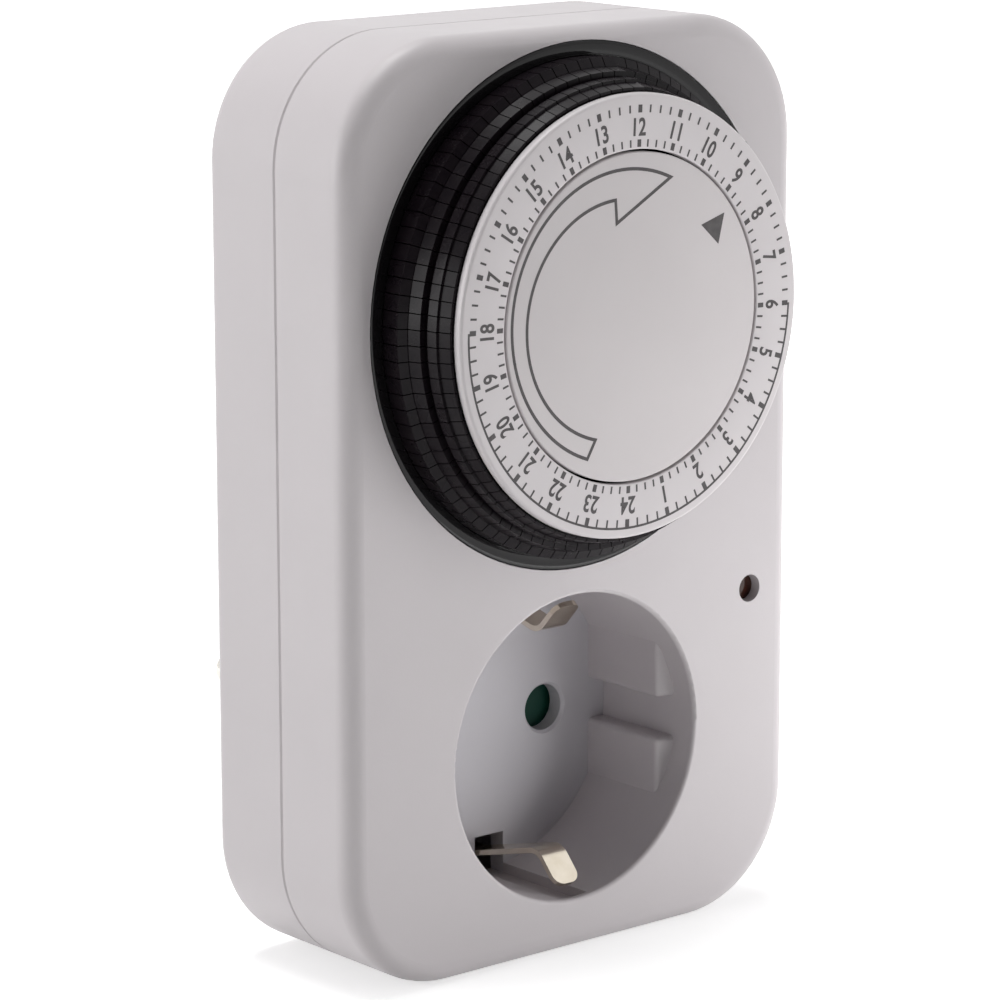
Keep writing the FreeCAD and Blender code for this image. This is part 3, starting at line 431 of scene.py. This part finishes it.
def ribbon(bm, sideOne, sideTwo, closed=False):
    front = (dialFrontY + printLook["front"]) * mm
    back = (dialFrontY + printLook["back"]) * mm
    loops = []
    for side in (sideOne, sideTwo):
        for y in (front, back):
            loops.append([bm.verts.new((x * mm, y, z * mm)) for x, z in side])
    oneFront, oneBack, twoFront, twoBack = loops
    count = len(sideOne)
    last = count if closed else count - 1
    for index in range(last):
        after = (index + 1) % count
        bm.faces.new([oneFront[index], oneFront[after], twoFront[after], twoFront[index]])
        bm.faces.new([oneFront[index], oneBack[index], oneBack[after], oneFront[after]])
        bm.faces.new([twoFront[index], twoFront[after], twoBack[after], twoBack[index]])
    if not closed:
        bm.faces.new([oneFront[0], twoFront[0], twoBack[0], oneBack[0]])
        bm.faces.new([oneFront[-1], oneBack[-1], twoBack[-1], twoFront[-1]])


def tick(bm, radii, angle, width):
    turn = math.radians(angle)
    across = Vector((-math.sin(turn), math.cos(turn))) * width / 2
    along = Vector((math.cos(turn), math.sin(turn)))
    centre = Vector((0, dialZ))
    ends = [centre + along * radius for radius in radii]
    ribbon(bm, [tuple(end - across) for end in ends], [tuple(end + across) for end in ends])


def arcPoints(radius, start, end, steps):
    points = []
    for step in range(steps + 1):
        turn = math.radians(start + (end - start) * step / steps)
        points.append((radius * math.cos(turn), dialZ + radius * math.sin(turn)))
    return points


def hourAngle(hour):
    return printLook["noon"] + (hour - 12) * printLook["hourAngle"]


def buildHourMarks():
    bm = bmesh.new()
    for quarter in range(24 * 4):
        angle = hourAngle(quarter / 4)
        width = printLook["thickTick"] if quarter % 4 == 0 else printLook["thinTick"]
        tick(bm, printLook["outerTick"], angle, width)
        tick(bm, printLook["innerTick"], angle, width * printLook["innerTickShare"])
    # the line along the night half, from 18 by way of 24 to 6
    start = hourAngle(printLook["nightStart"])
    end = hourAngle(printLook["nightStart"] + printLook["nightHours"])
    sides = [arcPoints(radius, start, end, printLook["nightSteps"])
             for radius in printLook["nightArc"]]
    ribbon(bm, *sides)
    finishMesh(bm, "hourMarks", "print", "dial")


# The bold and spacing values go by the font's own size, which is 1
numeralLook = {
    "radius": 23.14, "height": 2.20, "squeeze": 0.80, "bold": 0.024, "spacing": 1.04,
    "curveSteps": 6,
}


def buildNumerals():
    bm = bmesh.new()
    for hour in range(1, 25):
        curve = bpy.data.curves.new("numeral", "FONT")
        curve.body = str(hour)
        curve.align_x = "CENTER"
        curve.align_y = "CENTER"
        curve.size = 1.0
        curve.resolution_u = numeralLook["curveSteps"]
        curve.offset = numeralLook["bold"]
        curve.space_character = numeralLook["spacing"]
        text = bpy.data.objects.new("numeral", curve)
        scene.collection.objects.link(text)
        mesh = bpy.data.meshes.new_from_object(text)
        bpy.data.objects.remove(text)
        xs = [vertex.co.x for vertex in mesh.vertices]
        ys = [vertex.co.y for vertex in mesh.vertices]
        middle = Vector(((min(xs) + max(xs)) / 2, (min(ys) + max(ys)) / 2))
        grow = numeralLook["height"] / (max(ys) - min(ys))
        angle = math.radians(hourAngle(hour))
        outward = Vector((math.cos(angle), 0, math.sin(angle)))
        along = Vector((math.sin(angle), 0, -math.cos(angle)))
        spot = Vector((0, dialFrontY + printLook["front"], dialZ))
        spot += outward * numeralLook["radius"]
        for vertex in mesh.vertices:
            local = (Vector(vertex.co[:2]) - middle) * grow
            across = along * local.x * numeralLook["squeeze"]
            vertex.co = (spot + across + outward * local.y) * mm
        bm.from_mesh(mesh)
    bmesh.ops.remove_doubles(bm, verts=bm.verts, dist=meshLook["printWeld"] * mm)
    faces = list(bm.faces)
    lifted = bmesh.ops.extrude_face_region(bm, geom=faces)
    moved = [item for item in lifted["geom"] if isinstance(item, bmesh.types.BMVert)]
    depth = (printLook["back"] - printLook["front"]) * mm
    bmesh.ops.translate(bm, verts=moved, vec=(0, depth, 0))
    finishMesh(bm, "hourNumerals", "print", "dial")


# Arrow for the turning direction, drawn as a line, and the filled pointer that shows
# the time. The outer and inner arcs go through three points each, measured from the
# dial's axis, and the pointer's corners are (radius, angle).
arrowLook = {
    "line": 0.42, "arcSteps": 72, "sharpest": 0.35,
    "outer": ((-7.41, -16.51), (-19.28, -0.58), (5.89, 16.61)),
    "inner": ((-3.02, 14.59), (-16.96, -0.87), (-6.10, -14.30)),
    "barb": (-2.80, 11.75),
    "pointer": ((15.06, 43.1), (18.74, 37.7), (15.85, 28.9)),
}


# Points of the arc from the first point by way of the second to the third
def arcThrough(points, steps):
    (ax, az), (bx, bz), (cx, cz) = points
    d = 2 * (ax * (bz - cz) + bx * (cz - az) + cx * (az - bz))
    a2, b2, c2 = ax * ax + az * az, bx * bx + bz * bz, cx * cx + cz * cz
    ux = (a2 * (bz - cz) + b2 * (cz - az) + c2 * (az - bz)) / d
    uz = (a2 * (cx - bx) + b2 * (ax - cx) + c2 * (bx - ax)) / d
    radius = math.hypot(ax - ux, az - uz)
    angles = [math.atan2(z - uz, x - ux) for x, z in points]
    sweep = (angles[2] - angles[0]) % (2 * math.pi)
    middle = (angles[1] - angles[0]) % (2 * math.pi)
    if sweep <= middle:
        sweep -= 2 * math.pi
    return [(ux + radius * math.cos(angles[0] + sweep * step / steps),
             uz + radius * math.sin(angles[0] + sweep * step / steps)) for step in range(steps + 1)]


def buildArrow():
    path = arcThrough(arrowLook["outer"], arrowLook["arcSteps"])
    path += [arrowLook["barb"]]
    path += arcThrough(arrowLook["inner"], arrowLook["arcSteps"])
    outside, inside = [], []
    count = len(path)
    for index in range(count):
        before = (Vector(path[index]) - Vector(path[index - 1])).normalized()
        after = (Vector(path[(index + 1) % count]) - Vector(path[index])).normalized()
        mitre = Vector((-before.y - after.y, before.x + after.x))
        mitre *= arrowLook["line"] / max(mitre.length_squared, arrowLook["sharpest"])
        point = Vector(path[index]) + Vector((0, dialZ))
        outside.append(tuple(point + mitre))
        inside.append(tuple(point - mitre))
    bm = bmesh.new()
    ribbon(bm, outside, inside, closed=True)
    inner, tip, outer = [arcPoints(radius, angle, angle, 1)[0]
                         for radius, angle in arrowLook["pointer"]]
    ribbon(bm, [inner, tip], [outer, tip])
    finishMesh(bm, "directionArrow", "print", "housing")


buildHourMarks()
buildNumerals()
buildArrow()
print("print added to the dial")

# Floor, backdrop and light
studioLook = {
    "floorColour": (0.86, 0.86, 0.86), "floorRough": 0.9, "floorHalf": 6000.0,
    "floorGlow": (0.55, 1.0), "floorFade": (100.0, 500.0),
    "ambient": 0.30,
    "darkSide": (-0.63, -0.75, 0.20), "darkFade": (0.10, 0.80), "darkShare": 0.10,
    "aim": (0, -30, 30),
    "lamps": [
        {"name": "sideSoftbox", "from": (-820, 330, 180), "size": (700, 400), "power": 3.5},
        {"name": "lowSoftbox", "from": (120, -150, -14), "size": (140, 22), "power": 0.145,
         "mirrored": False},
        {"name": "rightSoftbox", "from": (420, -520, 260), "size": (300, 300), "power": 0.68,
         "mirrored": False},
        {"name": "topSoftbox", "from": (-60, 60, 950), "size": (700, 500), "power": 6.2},
    ],
}


def addMath(tree, operation, one, two):
    node = tree.nodes.new("ShaderNodeMath")
    node.operation = operation
    tree.links.new(one, node.inputs[0])
    tree.links.new(two, node.inputs[1])
    return node.outputs["Value"]


# Goes smoothly from one level to the other where the value crosses the span
def addFade(tree, value, span, levels):
    fade = tree.nodes.new("ShaderNodeMapRange")
    fade.interpolation_type = "SMOOTHSTEP"
    fade.inputs["From Min"].default_value = span[0]
    fade.inputs["From Max"].default_value = span[1]
    fade.inputs["To Min"].default_value = levels[0]
    fade.inputs["To Max"].default_value = levels[1]
    tree.links.new(value, fade.inputs["Value"])
    return fade.outputs["Result"]


def addFloor():
    half = studioLook["floorHalf"]
    corners = [Vector((x, y, bottomZ)) * mm
               for x, y in ((-half, -half), (half, -half), (half, half), (-half, half))]
    mesh = bpy.data.meshes.new("floor")
    mesh.from_pydata(corners, [], [(0, 1, 2, 3)])
    floor = bpy.data.objects.new("floor", mesh)
    scene.collection.objects.link(floor)
    paper = bpy.data.materials.new("paperFloor")
    paper.use_nodes = True
    tree = paper.node_tree
    matte = tree.nodes["Principled BSDF"]
    matte.inputs["Base Color"].default_value = (*studioLook["floorColour"], 1)
    matte.inputs["Roughness"].default_value = studioLook["floorRough"]
    matte.inputs["Specular IOR Level"].default_value = 0.0
    rays = tree.nodes.new("ShaderNodeLightPath").outputs
    seen = addMath(tree, "MAXIMUM", rays["Is Camera Ray"], rays["Is Glossy Ray"])
    # away from the object the paper runs out to plain white
    reach = tree.nodes.new("ShaderNodeVectorMath")
    reach.operation = "LENGTH"
    tree.links.new(tree.nodes.new("ShaderNodeTexCoord").outputs["Object"], reach.inputs[0])
    near, far = [distance * mm for distance in studioLook["floorFade"]]
    white = addFade(tree, reach.outputs["Value"], (near, far), studioLook["floorGlow"])
    glow = tree.nodes.new("ShaderNodeEmission")
    glow.inputs["Color"].default_value = (1, 1, 1, 1)
    tree.links.new(addMath(tree, "MULTIPLY", seen, white), glow.inputs["Strength"])
    both = tree.nodes.new("ShaderNodeAddShader")
    tree.links.new(matte.outputs["BSDF"], both.inputs[0])
    tree.links.new(glow.outputs["Emission"], both.inputs[1])
    tree.links.new(both.outputs["Shader"], tree.nodes["Material Output"].inputs["Surface"])
    mesh.materials.append(paper)


def addBackdrop():
    world = bpy.data.worlds.new("studio")
    scene.world = world
    world.use_nodes = True
    tree = world.node_tree
    light = tree.nodes["Background"]
    rays = tree.nodes.new("ShaderNodeLightPath").outputs
    seen = addMath(tree, "MAXIMUM", rays["Is Camera Ray"], rays["Is Glossy Ray"])
    seen = addMath(tree, "MAXIMUM", seen, rays["Is Transmission Ray"])
    level = tree.nodes.new("ShaderNodeMapRange")
    level.inputs["To Min"].default_value = studioLook["ambient"]
    level.inputs["To Max"].default_value = 1.0
    tree.links.new(seen, level.inputs["Value"])
    # the dark half of the room, where the photographer stood, for all but the plain view
    heading = tree.nodes.new("ShaderNodeVectorMath")
    heading.operation = "DOT_PRODUCT"
    heading.inputs[1].default_value = Vector(studioLook["darkSide"]).normalized()
    tree.links.new(tree.nodes.new("ShaderNodeTexCoord").outputs["Generated"], heading.inputs[0])
    levels = (1.0, studioLook["darkShare"])
    shade = addFade(tree, heading.outputs["Value"], studioLook["darkFade"], levels)
    shade = addMath(tree, "MAXIMUM", shade, rays["Is Camera Ray"])
    strength = addMath(tree, "MULTIPLY", level.outputs["Result"], shade)
    light.inputs["Color"].default_value = (1, 1, 1, 1)
    tree.links.new(strength, light.inputs["Strength"])


def addLamps():
    aim = Vector(studioLook["aim"]) * mm
    for look in studioLook["lamps"]:
        data = bpy.data.lights.new(look["name"], "AREA")
        data.shape = "RECTANGLE"
        data.size = look["size"][0] * mm
        data.size_y = look["size"][1] * mm
        data.energy = look["power"]
        lamp = bpy.data.objects.new(look["name"], data)
        spot = Vector(look["from"]) * mm
        lamp.rotation_mode = "QUATERNION"
        lamp.rotation_quaternion = (aim - spot).to_track_quat("-Z", "Y")
        lamp.location = spot
        lamp.visible_glossy = look.get("mirrored", True)
        scene.collection.objects.link(lamp)


addFloor()
addBackdrop()
addLamps()
print("studio lit")
